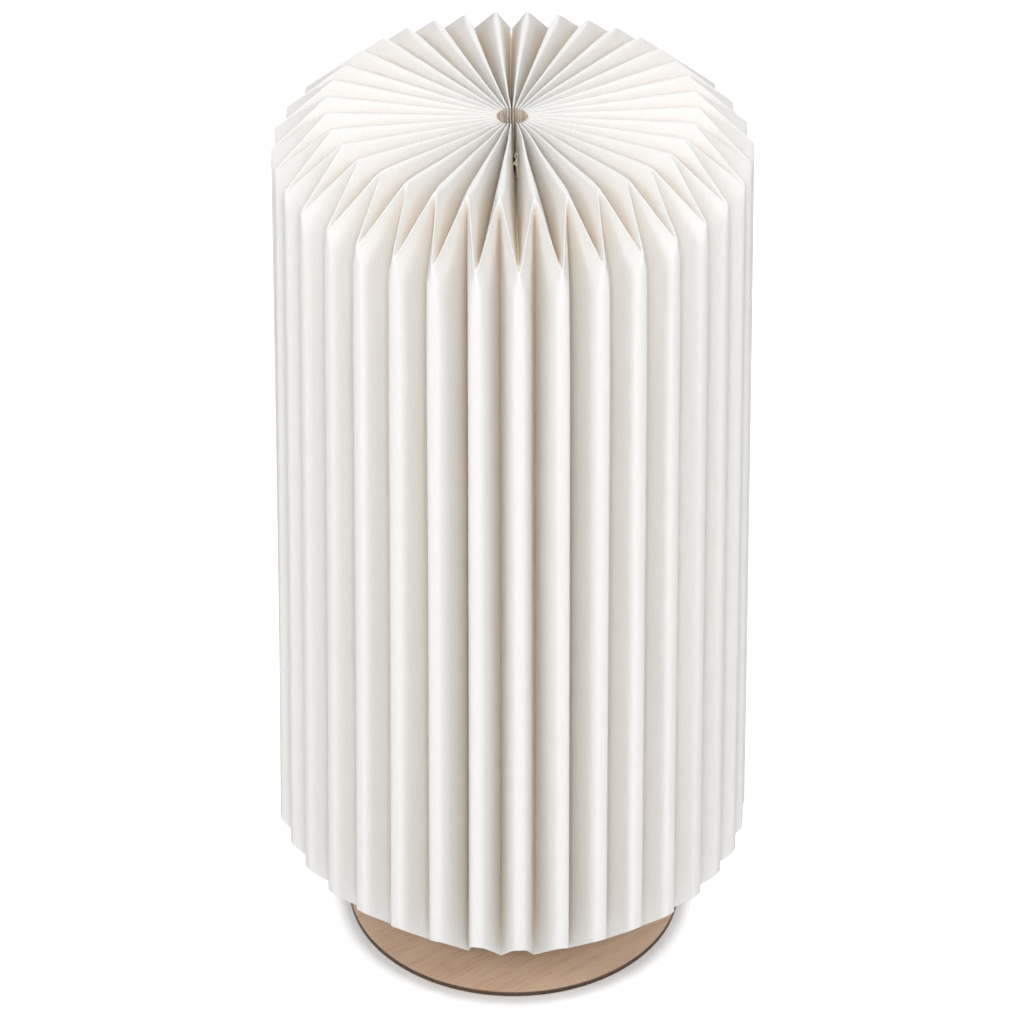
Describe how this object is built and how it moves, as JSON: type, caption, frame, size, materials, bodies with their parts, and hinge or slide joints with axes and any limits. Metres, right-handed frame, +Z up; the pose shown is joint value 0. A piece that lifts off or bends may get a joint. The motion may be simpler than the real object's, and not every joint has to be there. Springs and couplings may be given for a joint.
{
  "type": "pleated paper table lamp",
  "caption": "Table lamp with a tall pleated white paper shade, gathered at its top and resting on a wire frame over a screw-in bulb on a thin plywood disc.",
  "frame": {"origin": "on the lamp's axis, on the surface it stands on (underside of the felt pads)", "axes": "+Z up along the lamp's axis, -Y towards the front where the shade's string is tied, +Y towards the cord inlet"},
  "size_m": [0.2162, 0.2162, 0.4231],
  "materials": {
    "paper": "matt uncoated white paper, softly translucent",
    "string": "thin twisted natural thread",
    "felt": "dense wool felt",
    "plywood": "fine plywood, oiled, with a dark laser-cut edge",
    "wire": "satin white powder coat",
    "holder_plastic": "satin moulded thermoset plastic",
    "ceramic": "unglazed steatite",
    "brass": "bare brass",
    "nickel": "nickel plated, rolled",
    "steel": "zinc plated screws",
    "bush": "black moulded bush",
    "bulb_plastic": "white moulded polycarbonate",
    "opal": "opal diffusing polycarbonate",
    "glass_black": "black glass-like insulator",
    "board_metal": "white solder mask on aluminium",
    "phosphor": "yellow phosphor gel",
    "board_green": "green solder mask",
    "capacitor": "dark plastic sleeve",
    "coil": "enamelled winding in tape"
  },
  "bodies": {
    "base": {"base_disc": "plywood", "riser_disc": "plywood", "felt_pads": "felt", "frame_ring": "wire", "frame_leg_1": "wire", "frame_leg_2": "wire", "frame_leg_3": "wire", "frame_leg_4": "wire", "holder_base": "holder_plastic", "holder_cover": "holder_plastic", "contact_block": "ceramic", "screw_shell": "nickel", "shell_rivets": "brass", "centre_contact": "brass", "terminals": "brass", "terminal_screws": "steel", "holder_screws": "steel", "cord_inlet": "bush"},
    "shade": {"pleated_shade": "paper", "tie_string": "string"},
    "bulb_tip": {"bulb_contact": "nickel", "bulb_insulator": "glass_black"},
    "bulb": {"bulb_cap": "nickel", "bulb_housing": "bulb_plastic", "bulb_globe": "opal", "led_board": "board_metal", "led_chips": "phosphor", "driver_board": "board_green", "driver_capacitor": "capacitor", "driver_coil": "coil"}
  },
  "joints": [
    {"name": "shade_lift", "type": "slide", "parent": "base", "child": "shade", "axis": [0, 0, 1], "range_m": [0, 0.4]},
    {"name": "bulb_rise", "type": "slide", "parent": "base", "child": "bulb_tip", "axis": [0, 0, 1], "range_m": [0, 0.0254]},
    {"name": "bulb_turn", "type": "hinge", "parent": "bulb_tip", "child": "bulb", "pos_m": [0, 0, 0.06], "axis": [0, 0, 1], "range_deg": [0, 2520]}
  ],
  "couplings": [
    {"joint": "bulb_rise", "follows": "bulb_turn", "m_per_rad": 0.00057757}
  ]
}
